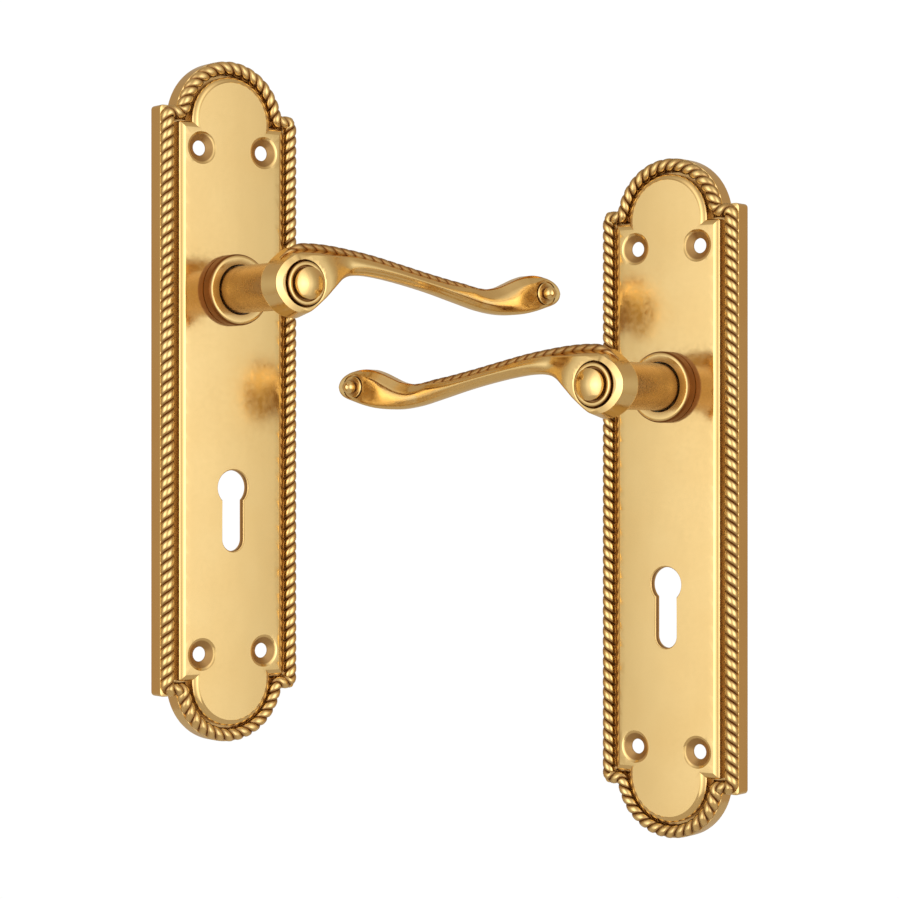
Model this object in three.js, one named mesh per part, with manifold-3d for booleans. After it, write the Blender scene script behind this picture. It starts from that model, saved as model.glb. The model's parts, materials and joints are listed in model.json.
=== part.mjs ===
// A pair of scroll lever handles on long backplates, for a mortice lever lock.
// Each half has a stepped, rope-edged backplate with a keyhole and a sprung lever that turns
// in a collar.  The halves are mirror images, toed in towards each other, the right one lower.
//
// Units are millimetres.  Every half is drawn flat first: x across the plate, y up from the
// spindle's axis, z out of the plate from its back face.  It is then stood up, with +Z up.

import * as THREE from "three";
import { mergeVertices } from "three/addons/utils/BufferGeometryUtils.js";
import Module from "manifold-3d";

const wasm = await Module();
wasm.setup();

// ---------------------------------------------------------------- driving dimensions

const gap = 0.3; // clearance between pieces that touch
const cutMargin = 1; // how far a cutter stands out of what it cuts
const roundSteps = 32; // facets of a large turned piece
const smallSteps = 16; // facets of a pin or a screw hole
const wireSides = 6; // facets round a spring wire
const sharpest = 0.05; // radius of a corner that is as good as square

// How the two halves stand to each other.
const halfSpread = 67.25; // spindle axis at the back face, sideways from the middle
const halfDrop = 14; // each spindle above or below the middle
const toeIn = THREE.MathUtils.degToRad(37.85);

// Backplate outline: straight sides, square shoulders and a round end beyond each.
const plateMid = -32.1; // middle of the plate below the spindle's axis
const plate = { halfWidth: 22.9, shoulder: 84.3, endCentre: 80.6, endRadius: 17.9, corner: 1.2 };
const panel = { halfWidth: 17.6, shoulder: 79.9, endCentre: 80.6, endRadius: 13.2, corner: 0.6 };

// Backplate levels above the door.
const ropeRadius = 2.0;
const ropeLevel = 5.8; // centre of the rope moulding
const channelLevel = 4.4; // floor between the rope and the raised panel
const channelBack = 2.4; // underside of that floor
const panelFace = 7.6;
const panelRounding = 1.0;
const panelBack = 5.8; // underside of the raised panel
const rimWidth = 2.6;
const panelWall = 2.2;

// Fixing screws and keyhole.
const screwSide = 10.6;
const screwRise = 72.6; // each way from the plate's middle
const screwRadius = 2.15;
const sink = { radius: 4.2, depth: 1.4 }; // a dished seat at the panel's face
const keyDrop = 57; // spindle to keyhole, the lock's own centres
const keyRadius = 5.0;
const keySlot = { halfWidth: 3.45, foot: 75.4 };

// Spindle neck and its bearing.
const neckRadius = 6.8;
const neckBack = -2.2;
const neckSpan = 4 * neckRadius; // wide enough to cut clean across the neck
const flatAcross = 6.1; // half the distance over the neck's two flats
const flatTop = 2.7;
const socketHalf = 4.05; // for an 8 mm square spindle
const socketTop = 30;
const collar = { radius: 10.3, edge: 1.2, spigot: 9.0, bore: 8.1, mouth: 7.2, top: 11.6, lip: 10.4 };
const bush = { inner: 7.1, outer: 7.8, back: 2.8, top: 10.1 };

// Head, boss and arm of the lever.
const headBack = 38.0;
const headFace = 44.8;
const armFace = 43.0;
const tipFace = 44.0;
const boss = {
  spigot: 6.15, face: 45.6, edge: 0.6, groove: 4.9, grooveFloor: 44.7, dome: 4.5, shoulder: 47.2, top: 48.3,
};
const tipButton = {
  across: 87.2, rise: 0.65, radius: 3.3, ring: 0.6, stem: 1.6, foot: 41.4, hole: 41, knob: 1.95, ball: 46.4,
};
const volute = { from: 100, step: 23, radii: [10.4, 9.9, 10.1, 10.7, 10.7, 10.1, 9.7, 9.4, 9.2] }; // degrees
const headTaper = 1.2; // how far the head's side leans in from its back to its face
const headRounding = 0.6;
const armRounding = 2.0;
const handleBackEdge = 0.7;
const headToArm = { from: 6, to: 20 }; // where the head's form passes into the arm's
const faceFall = { from: 7, to: 20 }; // where the head's face drops to the arm's
const tipSwell = { from: 22, to: 84 }; // where the arm's face rises to the tip's
const armBead = { radius: 1.2, level: 41.6, sunk: 0.25, sides: 6 };

// Return spring and stops behind the panel.
const drive = { radius: 9.6, lug: 12.4, lugHalfAngle: 15, low: 1.4, high: 2.5, angle: 90 };
const travel = 45; // degrees of lever travel
const spring = { radius: 9.4, wire: 0.5, front: 5.0, back: 3.3, turns: 1.5, reach: 12.6 };
const pin = { radius: 1.1, orbit: 11.4, front: 6.4, hole: 1.4, holeTop: 6.7 };
const washer = { radius: 9.0, low: 0.3, high: 1.1 };
const circlip = { radius: 8.4, inner: 6.5, groove: 6.2, low: -0.8, high: 0.0, opening: 70 };

// ---------------------------------------------------------------- finishes

const brass = new THREE.MeshStandardMaterial({ color: 0xd9a441, roughness: 0.16, metalness: 1 });
const steel = new THREE.MeshStandardMaterial({ color: 0x9a9ca0, roughness: 0.35, metalness: 1 });
const springSteel = new THREE.MeshStandardMaterial({ color: 0x55565a, roughness: 0.4, metalness: 1 });
const nylon = new THREE.MeshStandardMaterial({ color: 0xe8e4d8, roughness: 0.55, metalness: 0 });

// ---------------------------------------------------------------- solids

const radians = THREE.MathUtils.degToRad;

// A closed three.js geometry as a solid that can be joined and cut.
function solid(geometry) {
  const bare = new THREE.BufferGeometry();
  const source = geometry.index ? geometry.toNonIndexed() : geometry;
  bare.setAttribute("position", source.getAttribute("position").clone());
  const merged = mergeVertices(bare, 1e-4);
  const index = merged.index.array;
  const triVerts = [];
  for (let i = 0; i < index.length; i += 3) {
    const [a, b, c] = [index[i], index[i + 1], index[i + 2]];
    if (a !== b && b !== c && c !== a) triVerts.push(a, b, c);
  }
  return new wasm.Manifold(new wasm.Mesh({
    numProp: 3,
    vertProperties: merged.getAttribute("position").array,
    triVerts: new Uint32Array(triVerts),
  }));
}

function geometryOf(body) {
  const mesh = body.getMesh();
  const geometry = new THREE.BufferGeometry();
  geometry.setAttribute("position", new THREE.BufferAttribute(mesh.vertProperties, 3));
  geometry.setIndex(new THREE.BufferAttribute(mesh.triVerts, 1));
  return geometry;
}

// A flat outline pushed from one level to another.
function slab(shape, low, high) {
  const options = { depth: high - low, steps: 1, curveSegments: 1, bevelEnabled: false };
  const geometry = new THREE.ExtrudeGeometry(shape, options);
  geometry.translate(0, 0, low);
  return solid(geometry);
}

// A skin over rings of [x, y, z] points, all with the same count.  An open stack is capped at
// its first, lowest ring and its last; a looped one joins its last ring to its first.
function lofted(rings, looped = false) {
  const count = rings[0].length;
  const index = [];
  for (let ring = 0; ring < (looped ? rings.length : rings.length - 1); ring += 1) {
    const next = ((ring + 1) % rings.length) * count;
    for (let i = 0; i < count; i += 1) {
      const j = (i + 1) % count;
      index.push(ring * count + i, ring * count + j, next + j, ring * count + i, next + j, next + i);
    }
  }
  if (!looped) {
    const last = (rings.length - 1) * count;
    const flat = (ring) => ring.map(([x, y]) => new THREE.Vector2(x, y));
    const bottom = THREE.ShapeUtils.triangulateShape(flat(rings[0]), []);
    const top = THREE.ShapeUtils.triangulateShape(flat(rings.at(-1)), []);
    for (const [a, b, c] of bottom) index.push(a, c, b);
    for (const [a, b, c] of top) index.push(last + a, last + b, last + c);
  }
  const geometry = new THREE.BufferGeometry();
  geometry.setAttribute("position", new THREE.Float32BufferAttribute(rings.flat(2), 3));
  geometry.setIndex(index);
  return solid(geometry);
}

// A profile of [radius, level] points turned about an axis that runs out of the plate.
function turned(profile, x = 0, y = 0, steps = roundSteps) {
  const geometry = new THREE.LatheGeometry(profile.map((p) => new THREE.Vector2(...p)), steps);
  geometry.rotateX(Math.PI / 2);
  geometry.translate(x, y, 0);
  return solid(geometry);
}

function disc(radius, low, high, x = 0, y = 0, steps = smallSteps) {
  const geometry = new THREE.CylinderGeometry(radius, radius, high - low, steps);
  geometry.rotateX(Math.PI / 2);
  geometry.translate(x, y, (low + high) / 2);
  return solid(geometry);
}

function block(width, height, low, high, x = 0, y = 0) {
  const geometry = new THREE.BoxGeometry(width, height, high - low);
  geometry.translate(x, y, (low + high) / 2);
  return solid(geometry);
}

function polygon(points) {
  return new THREE.Shape(points.map((p) => new THREE.Vector2(...p)));
}

function arc(x, y, radius, from, to, steps) {
  return Array.from({ length: steps + 1 }, (_, i) => {
    const angle = radians(from + ((to - from) * i) / steps);
    return [x + radius * Math.cos(angle), y + radius * Math.sin(angle)];
  });
}

// A regular section for a swept piece.
function evenSided(radius, sides) {
  return polygon(arc(0, 0, radius, 0, 360 - 360 / sides, sides - 1));
}

function polar(radius, degrees) {
  return [radius * Math.cos(radians(degrees)), radius * Math.sin(radians(degrees))];
}

// ---------------------------------------------------------------- backplate

// The stepped outline, drawn in by an inset: square shoulders with a round end between them.
function steppedOutline({ halfWidth, shoulder, endCentre, endRadius, corner }, inset = 0) {
  const endSteps = 12;
  const side = halfWidth - inset;
  const step = shoulder - inset;
  const round = Math.max(corner - inset, sharpest);
  const radius = endRadius - inset;
  const rise = THREE.MathUtils.radToDeg(Math.asin((step - endCentre) / radius));
  const quarter = [
    ...arc(side - round, step - round, round, 0, 90, 2),
    ...arc(0, endCentre, radius, rise, 180 - rise, endSteps),
    ...arc(round - side, step - round, round, 90, 180, 2),
  ];
  const half = quarter.map(([x, y]) => [x, y + plateMid]);
  const otherHalf = quarter.map(([x, y]) => [-x, plateMid - y]);
  return [...half, ...otherHalf];
}

function keyholeOutline() {
  const { halfWidth, foot } = keySlot;
  const meet = THREE.MathUtils.radToDeg(Math.asin(halfWidth / keyRadius));
  return polygon([
    ...arc(0, -keyDrop, keyRadius, meet - 90, 270 - meet, 12),
    ...arc(0, halfWidth - foot, halfWidth, 180, 360, 6),
  ]);
}

function screwPlaces() {
  return [-1, 1].flatMap((row) => [-1, 1].map((side) => [side * screwSide, plateMid + row * screwRise]));
}

function ringAt(step, inset, level) {
  return steppedOutline(step, inset).map(([x, y]) => [x, y, level]);
}

// The rope moulding's plain form: a round bead all the way round the plate's edge.
function ropeBead() {
  const sides = 8;
  const rings = Array.from({ length: sides }, (_, i) => {
    const [across, rise] = polar(ropeRadius, (-360 * i) / sides);
    return ringAt(plate, ropeRadius - across, ropeLevel - rise);
  });
  return lofted(rings, true);
}

// The raised panel, its edge rounded over from the wall to the face.
function raisedPanel() {
  const rings = [0, 30, 60, 90].map((turn) => {
    const [across, rise] = polar(panelRounding, turn);
    return ringAt(panel, panelRounding - across, panelFace - panelRounding + rise);
  });
  return lofted([ringAt(panel, 0, channelBack), ...rings]);
}

function backplate() {
  const wall = polygon(steppedOutline(plate));
  wall.holes.push(new THREE.Path(polygon(steppedOutline(plate, ropeRadius)).getPoints()));
  let body = slab(polygon(steppedOutline(plate)), 0, channelLevel)
    .add(slab(wall, 0, ropeLevel))
    .add(ropeBead())
    .add(raisedPanel())
    .subtract(slab(polygon(steppedOutline(plate, rimWidth)), -cutMargin, channelBack))
    .subtract(slab(polygon(steppedOutline(panel, panelWall)), -cutMargin, panelBack));
  for (const [x, y] of screwPlaces()) {
    const screwHole = [[0, -cutMargin], [screwRadius, -cutMargin], [screwRadius, panelFace - sink.depth],
      [sink.radius, panelFace], [sink.radius, panelFace + cutMargin], [0, panelFace + cutMargin]];
    body = body.subtract(turned(screwHole, x, y, smallSteps));
  }
  const through = panelFace + cutMargin;
  body = body.subtract(slab(keyholeOutline(), -cutMargin, through));
  body = body.subtract(disc(collar.spigot + gap, -cutMargin, through, 0, 0, roundSteps));
  for (const angle of Object.values(pinAngles)) {
    body = body.subtract(disc(pin.hole, 0, pin.holeTop, ...polar(pin.orbit, angle)));
  }
  return body;
}

// ---------------------------------------------------------------- bearing

function bearingCollar() {
  const { radius, edge, spigot, bore, mouth, top, lip } = collar;
  const face = panelFace + gap;
  const rounded = arc(radius - edge, top - edge, edge, 0, 90, 2);
  return turned([[bore, panelBack], [spigot, panelBack], [spigot, face], [radius, face],
    ...rounded, [mouth, top], [mouth, lip], [bore, lip], [bore, panelBack]]);
}

function bearingBush() {
  const { inner, outer, back, top } = bush;
  return turned([[inner, back], [outer, back], [outer, top], [inner, top], [inner, back]]);
}

// ---------------------------------------------------------------- neck with its boss

// Round shank with two flats and a square socket at the back; its front end passes through the
// lever's head and shows as a ring with a dome inside it.
function leverNeck() {
  const { spigot, face, edge, groove, grooveFloor, dome, shoulder, top } = boss;
  const seat = headBack - gap;
  const domeCurve = [0, 30, 60, 90].map((turn) => {
    const [across, rise] = polar(1, turn);
    return [turn === 90 ? 0 : dome * Math.sqrt(across), shoulder + (top - shoulder) * rise];
  });
  const profile = [[0, neckBack], [neckRadius, neckBack], [neckRadius, seat], [spigot, seat],
    [spigot, face - edge], [spigot - edge, face], [groove, face], [groove, grooveFloor],
    [dome, grooveFloor], ...domeCurve];
  const sideCut = neckRadius - flatAcross;
  let body = turned(profile);
  for (const side of [-1, 1]) {
    const y = side * (flatAcross + sideCut);
    body = body.subtract(block(neckSpan, 2 * sideCut, neckBack - cutMargin, flatTop, 0, y));
  }
  const outside = neckRadius + cutMargin;
  const clipSeat = [[circlip.groove, circlip.low - gap], [outside, circlip.low - gap],
    [outside, circlip.high + gap], [circlip.groove, circlip.high + gap],
    [circlip.groove, circlip.low - gap]];
  return body
    .subtract(turned(clipSeat))
    .subtract(block(2 * socketHalf, 2 * socketHalf, neckBack - cutMargin, socketTop));
}

// ---------------------------------------------------------------- lever handle

// The arm's top edge, from the head down to the crook; the rope bead runs along it.
const topEdge = [[6, 10.6], [13.5, 10.0], [24, 8.5], [34, 6.5], [44, 4.4], [54, 2.5], [62, 1.4]];

// The handle's outline seen from the front: a scroll round the head, a slim arm that dips to a
// crook, and a full tip that turns up again.
function leverOutline() {
  const scroll = volute.radii.map((radius, i) => polar(radius, volute.from + i * volute.step));
  const underside = [[7.6, -4.9], [10.9, -1.5], [14.0, 1.3], [17.6, 2.9], [22, 3.3], [28, 2.8],
    [36, 1.5], [46, -0.6], [57, -3.4], [64.5, -5.2], [72, -6.1], [80, -5.6], [87.5, -3.6]];
  const tip = [[91.6, -2.0], [93.1, 0.4], [91.8, 3.2], [88.2, 5.1], [82.7, 5.9], [78.6, 5.0]];
  const topside = [[74.6, 3.4], [71, 2.0], [67, 1.3], ...topEdge.toReversed()];
  const points = [...scroll, ...underside, ...tip, ...topside];
  return new THREE.CatmullRomCurve3(points.map(([x, y]) => new THREE.Vector3(x, y, 0)), true);
}

// How much of a change that runs from one place along the handle to another is done at x.
function share(x, { from, to }) {
  return THREE.MathUtils.smoothstep(x, from, to);
}

// The radius that rounds the front edge, and the front face's level, along the handle.
function leverEdge(x) {
  return headRounding + (armRounding - headRounding) * share(x, headToArm);
}

function leverFace(x) {
  return headFace + (armFace - headFace) * share(x, faceFall) + (tipFace - armFace) * share(x, tipSwell);
}

// Rings of the outline stacked from back to front, drawn in by the head's taper and then along a
// rounding at the front.
function leverCasting() {
  const count = 76;
  const levels = [{ rise: 0 }, { rise: handleBackEdge }, { turn: 0 }, { turn: 45 }, { turn: 90 }];
  const outline = leverOutline();
  const places = [];
  for (let i = 0; i < count; i += 1) {
    const point = outline.getPointAt(i / count);
    const along = outline.getTangentAt(i / count);
    places.push({ point, inward: new THREE.Vector2(-along.y, along.x) });
  }
  return lofted(levels.map(({ turn, rise }) => places.map(({ point, inward }) => {
    const atBack = turn === undefined;
    const edge = leverEdge(point.x);
    const [across, up] = polar(edge, atBack ? 0 : turn);
    const taper = headTaper * (1 - share(point.x, headToArm));
    const inset = atBack ? handleBackEdge - rise : taper + edge - across;
    const level = atBack ? headBack + rise : leverFace(point.x) - edge + up;
    return [point.x + inward.x * inset, point.y + inward.y * inset, level];
  })));
}

// The rope bead along the handle's top edge: it rises out of the head and ends at the crook.
function leverBead() {
  const { radius, level, sunk, sides } = armBead;
  const rising = [[-5, 8.1], [-2.5, 9.4], [0, 10.2]];
  const along = topEdge.map(([x, y]) => [x, y - sunk]);
  const path = new THREE.CatmullRomCurve3(
    [...rising, ...along, [67, 0.9]].map(([x, y]) => new THREE.Vector3(x, y, level)));
  const section = evenSided(radius, sides);
  return solid(new THREE.ExtrudeGeometry(section, { steps: 24, curveSegments: 1, extrudePath: path }));
}

function leverHandle() {
  const { across, rise, stem, hole } = tipButton;
  return leverCasting()
    .add(leverBead())
    .subtract(disc(boss.spigot + gap, headBack - cutMargin, headFace + cutMargin, 0, 0, roundSteps))
    .subtract(disc(stem + gap, hole, tipFace + cutMargin, across, rise));
}

function leverTipButton() {
  const { across, rise, radius, ring, stem, foot, knob, ball } = tipButton;
  const base = tipFace + gap;
  const sphere = [-45, -10, 25, 60, 90].map((turn) => {
    const [out, up] = polar(knob, turn);
    return [turn === 90 ? 0 : out, ball + up];
  });
  return turned([[0, foot], [stem, foot], [stem, base], [radius, base], [radius, base + ring / 2],
    [radius - ring / 2, base + ring], [sphere[0][0], base + ring], ...sphere], across, rise, smallSteps);
}

// ---------------------------------------------------------------- spring gear behind the panel

const wireAngle = THREE.MathUtils.radToDeg((spring.wire + gap) / pin.orbit);
const pinAngle = THREE.MathUtils.radToDeg((pin.radius + gap) / pin.orbit);
const movingLegAngle = drive.angle - drive.lugHalfAngle - wireAngle;
const fixedLegAngle = movingLegAngle + 360 * spring.turns;
const pinAngles = {
  rest_stop_pin: drive.angle + drive.lugHalfAngle + pinAngle,
  travel_stop_pin: movingLegAngle - travel - wireAngle - pinAngle,
  spring_anchor_pin: fixedLegAngle - wireAngle - pinAngle,
};

// A hole for the neck and its two flats.
function neckHole(low, high) {
  return disc(neckRadius + gap, low, high, 0, 0, roundSteps)
    .intersect(block(neckSpan, 2 * (flatAcross + gap), low, high));
}

function drivePlate() {
  const { radius, lug, lugHalfAngle, low, high, angle } = drive;
  const sector = polygon([[0, 0], ...arc(0, 0, lug, angle - lugHalfAngle, angle + lugHalfAngle, 6)]);
  return disc(radius, low, high, 0, 0, roundSteps)
    .add(slab(sector, low, high))
    .subtract(neckHole(low - cutMargin, high + cutMargin));
}

function thrustWasher() {
  const { radius, low, high } = washer;
  return disc(radius, low, high, 0, 0, roundSteps)
    .subtract(neckHole(low - cutMargin, high + cutMargin));
}

function retainingClip() {
  const { radius, inner, low, high, opening } = circlip;
  const from = opening / 2 - 90;
  const to = 270 - opening / 2;
  const outside = arc(0, 0, radius, from, to, 16);
  const inside = arc(0, 0, inner, to, from, 16);
  return slab(polygon([...outside, ...inside]), low, high);
}

// A torsion spring: a fixed leg out to its anchor, the coil, and a leg that bears on the lug.
function returnSpring() {
  const { radius, wire, front, back, turns, reach } = spring;
  const coilSteps = 36;
  const points = [new THREE.Vector3(...polar(reach, fixedLegAngle), front)];
  for (let i = 0; i <= coilSteps; i += 1) {
    const angle = fixedLegAngle - (360 * turns * i) / coilSteps;
    points.push(new THREE.Vector3(...polar(radius, angle), front + ((back - front) * i) / coilSteps));
  }
  points.push(new THREE.Vector3(...polar(pin.orbit - wire, movingLegAngle), back));
  points.push(new THREE.Vector3(...polar(pin.orbit, movingLegAngle), back - wire));
  points.push(new THREE.Vector3(...polar(pin.orbit, movingLegAngle), drive.low));
  const path = new THREE.CatmullRomCurve3(points, false, "centripetal");
  const section = evenSided(wire, wireSides);
  return solid(new THREE.ExtrudeGeometry(section, { steps: 60, curveSegments: 1, extrudePath: path }));
}

function stopPin(name) {
  const low = name === "spring_anchor_pin" ? spring.front - 2 * spring.wire : drive.low;
  return disc(pin.radius, low, pin.front, ...polar(pin.orbit, pinAngles[name]));
}

// ---------------------------------------------------------------- one half, and the pair

function pieces() {
  return {
    backplate: [backplate(), brass],
    bearing_collar: [bearingCollar(), brass],
    bearing_bush: [bearingBush(), nylon],
    lever_handle: [leverHandle(), brass],
    lever_neck: [leverNeck(), brass],
    lever_tip_button: [leverTipButton(), brass],
    drive_plate: [drivePlate(), steel],
    thrust_washer: [thrustWasher(), steel],
    retaining_clip: [retainingClip(), springSteel],
    return_spring: [returnSpring(), springSteel],
    rest_stop_pin: [stopPin("rest_stop_pin"), steel],
    travel_stop_pin: [stopPin("travel_stop_pin"), steel],
    spring_anchor_pin: [stopPin("spring_anchor_pin"), steel],
  };
}

const drawn = Object.entries(pieces()).map(([name, [body, finish]]) => [name, geometryOf(body), finish]);

// One half stood upright and toed in; the mirrored half is the other hand.
function half(hand, mirror, lift) {
  const flat = new THREE.Group();
  flat.rotation.x = Math.PI / 2;
  for (const [name, geometry, finish] of drawn) {
    const mesh = new THREE.Mesh(geometry, finish.clone());
    mesh.name = `${hand}_${name}`;
    flat.add(mesh);
  }
  const turnedIn = new THREE.Group();
  turnedIn.rotation.z = toeIn;
  turnedIn.position.set(-halfSpread, 0, lift);
  turnedIn.add(flat);
  const side = new THREE.Group();
  side.scale.x = mirror;
  side.add(turnedIn);
  return side;
}

// The origin is the middle of the pair's bounding box.
const pair = new THREE.Group();
pair.add(half("left", 1, halfDrop));
pair.add(half("right", -1, -halfDrop));
pair.updateMatrixWorld(true);
const middle = new THREE.Box3().setFromObject(pair, true).getCenter(new THREE.Vector3());
for (const side of pair.children) side.position.sub(middle);

export default pair;
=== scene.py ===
"""The looks of a pair of polished brass scroll lever handles on rope-edged backplates."""

import json
import math

import bmesh
import bpy
import numpy as np
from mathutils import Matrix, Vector

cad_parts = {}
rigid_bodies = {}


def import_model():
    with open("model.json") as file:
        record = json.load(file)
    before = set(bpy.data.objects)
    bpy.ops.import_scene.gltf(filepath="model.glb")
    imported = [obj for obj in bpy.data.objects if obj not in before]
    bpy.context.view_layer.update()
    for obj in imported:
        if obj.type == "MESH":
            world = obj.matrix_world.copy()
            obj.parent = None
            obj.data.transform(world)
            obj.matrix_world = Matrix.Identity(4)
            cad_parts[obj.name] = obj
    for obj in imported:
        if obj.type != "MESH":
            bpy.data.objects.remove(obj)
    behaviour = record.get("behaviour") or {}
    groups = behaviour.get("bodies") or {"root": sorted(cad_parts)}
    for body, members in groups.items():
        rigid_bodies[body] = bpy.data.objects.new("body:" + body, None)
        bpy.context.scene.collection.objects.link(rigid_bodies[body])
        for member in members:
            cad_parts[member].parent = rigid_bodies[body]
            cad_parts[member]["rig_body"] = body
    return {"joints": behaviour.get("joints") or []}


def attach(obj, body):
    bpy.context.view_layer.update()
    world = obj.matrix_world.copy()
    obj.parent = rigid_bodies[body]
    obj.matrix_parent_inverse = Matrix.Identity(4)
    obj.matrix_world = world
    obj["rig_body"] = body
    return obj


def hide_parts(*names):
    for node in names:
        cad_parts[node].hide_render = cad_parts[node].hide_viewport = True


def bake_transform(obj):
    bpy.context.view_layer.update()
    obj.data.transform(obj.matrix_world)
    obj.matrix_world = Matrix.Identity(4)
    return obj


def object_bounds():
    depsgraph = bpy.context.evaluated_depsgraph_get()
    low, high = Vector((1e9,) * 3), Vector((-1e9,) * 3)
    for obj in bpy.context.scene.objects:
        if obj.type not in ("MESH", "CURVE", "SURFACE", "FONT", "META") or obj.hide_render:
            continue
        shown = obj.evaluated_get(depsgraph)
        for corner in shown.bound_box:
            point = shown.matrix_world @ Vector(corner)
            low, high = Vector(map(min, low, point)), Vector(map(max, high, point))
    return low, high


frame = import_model()
CAD_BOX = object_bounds()

# ---------------------------------------------------------------- dimensions, in millimetres
# Each half has its own axes from the spindle: across the plate, up it, and out of it.

MM = 0.001
MERGE = 1e-4  # points nearer than this are one

PLATE_MID = -32.1
PLATE = dict(half_width=22.9, shoulder=84.3, end_centre=80.6, end_radius=17.9, corner=1.2)
PANEL = dict(half_width=17.6, shoulder=79.9, end_centre=80.6, end_radius=13.2, corner=0.6)
ROPE = dict(radius=2.0, level=5.8, pitch=3.0, strands=2, valley=0.6, bend=8)
WALL_TOP = 5.0
CHANNEL, CHANNEL_BACK = 4.4, 2.4
FACE, ROUNDING, PANEL_BACK = 7.6, 1.0, 5.8
EDGE_WIDTH = 1.7  # how far the panel's soft edge runs in from its side
CROWN = 0.2  # how far the polished panel swells in its middle
CROWN_CUTS = dict(across=(-14, 14, 15), up=(-124, 60, 47))  # first cut, last cut and count
SIDE_STEPS = 24
SHARPEST_CORNER = 0.08
RIM, PANEL_WALL = 2.6, 2.2
SCREW = dict(side=10.6, rise=72.6, radius=2.15, sink=4.2, depth=1.4)
KEYHOLE = dict(drop=57.0, radius=5.0, slot=3.45, foot=75.4, middle=(0, -66), reach=16)
HOLE_ROUND = 0.45  # how far a hole's rim is rounded over

NECK = dict(radius=6.8, back=-2.2, flat=6.1, flat_top=2.7, socket=4.05, socket_top=30.0)
COLLAR = dict(radius=10.3, spigot=9.0, bore=8.1, mouth=7.2, top=11.6, lip=10.4)
BUSH = dict(inner=7.1, outer=7.8, back=2.8, top=10.1)
GAP = 0.3

HEAD_BACK, HEAD_FACE, ARM_FACE, TIP_FACE, TIP_RISE = 38.0, 44.8, 43.0, 44.0, 44.6
BOSS = dict(spigot=6.15, face=45.6, groove=4.9, floor=44.7, dome=4.5, shoulder=47.2, top=48.3,
            bore=6.5)
TIP = dict(across=87.2, rise=0.65, radius=3.3, stem=1.6, knob=1.95, ball=46.4)
VOLUTE = dict(start=100, step=23, radii=(10.4, 9.9, 10.1, 10.7, 10.7, 10.1, 9.7, 9.4, 9.2))
HEAD_TAPER = 1.2
HEAD_FALL = (8.9, 18)  # distances from the spindle between which the head's face falls
HEAD_SIDE = (2, 7)  # places across between which that fall sets in
TIP_CLIMB = dict(start=64, length=20)
HEAD_CHAMFER, TIP_CHAMFER = dict(wide=1.9, deep=0.55), dict(wide=2.4, deep=1.7)
ARM_CROWN = 0.55  # how far the arm's front swells in its middle
LEVER_ROPE = dict(radius=1.2, level=41.6, sunk=0.25, pitch=3.4, strands=2, valley=0.4, bend=4)
ROPE_STEP = 0.45  # between one ring of points and the next
# The last number sets how sharply the painted groove shade, with polishing compound, gathers at each
# strand's edges.
STRAND = dict(points=13, hollow=3, groove_polish_and_shade=2.5)  # points across it, and how its edges fall off

DRIVE = dict(radius=9.6, lug=12.4, half_angle=15, low=1.4, high=2.5, angle=90)
TRAVEL = 45
SPRING = dict(radius=9.4, wire=0.5, front=5.0, back=3.3, turns=1.5, reach=12.6)
PIN = dict(radius=1.1, orbit=11.4, front=6.4, hole=1.4, hole_top=6.7)
WASHER = dict(radius=9.0, low=0.3, high=1.1)
CLIP = dict(radius=8.4, inner=6.5, groove=6.2, low=-0.8, high=0.0, opening=70)

# How much brown each place takes, from none to all: polishing compound in hollows, plus painted shade
# and painted dark reflection; the collar's side and the shank get painted reflection and shade only.
POLISH_AND_SHADE_BY_PLACE = dict(channel=0.45, sink=0.6, keyhole=0.8, collar_side=0.95, collar_mouth=0.5, shank=0.5,
               ring_side=0.9, moat=0.8, button_rim=1.0, button_throat=0.9, lever_rope=0.5)


# ---------------------------------------------------------------- the two halves

class Half:
    """One handle's axes in the row frame, taken from its lever's joint."""

    def __init__(self, hand):
        joint = next(j for j in frame["joints"] if j["child"] == f"{hand}_lever")
        axis = Vector(joint["axis"])
        self.hand = hand
        self.origin = np.array(joint["pos_m"])
        out = axis if axis.y < 0 else -axis
        up = Vector((0, 0, 1))
        across = up.cross(out)
        if across.x * joint["pos_m"][0] > 0:
            across = -across
        self.axes = np.array([across, up, out])
        self.mirrored = np.linalg.det(self.axes) < 0

    def place(self, points):
        return self.origin + MM * (np.asarray(points, float) @ self.axes)


HALVES = [Half("left"), Half("right")]


# ---------------------------------------------------------------- shapes as points and faces

class Skin:
    """Points in one half's millimetres, their faces, and how much brown each point takes: polishing
    compound in hollows and painted shade.
    """

    def __init__(self, points, faces, polish_and_shade=None):
        self.points = np.asarray(points, float)
        self.faces = [tuple(face) for face in faces]
        self.polish_and_shade = np.zeros(len(self.points)) if polish_and_shade is None else np.asarray(polish_and_shade, float)

    def joined(self, other):
        shift = len(self.points)
        faces = self.faces + [tuple(i + shift for i in face) for face in other.faces]
        polish_and_shade = np.concatenate([self.polish_and_shade, other.polish_and_shade])
        return Skin(np.vstack([self.points, other.points]), faces, polish_and_shade)


def grid_faces(rows, columns, loop_rows=False, loop_columns=False):
    faces = []
    for r in range(rows if loop_rows else rows - 1):
        for c in range(columns if loop_columns else columns - 1):
            r2, c2 = (r + 1) % rows, (c + 1) % columns
            faces.append((r * columns + c, r * columns + c2, r2 * columns + c2, r2 * columns + c))
    return faces


def loft(rings, looped=False, caps=True, polish_and_shade=None):
    """A skin over closed rings of points, from the lowest ring to the last."""
    rings = np.asarray(rings, float)
    rows, columns, _ = rings.shape
    faces = grid_faces(rows, columns, loop_rows=looped, loop_columns=True)
    if caps and not looped:
        faces.append(tuple(range(columns))[::-1])
        faces.append(tuple((rows - 1) * columns + i for i in range(columns)))
    return Skin(rings.reshape(-1, 3), faces, polish_and_shade)


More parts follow.
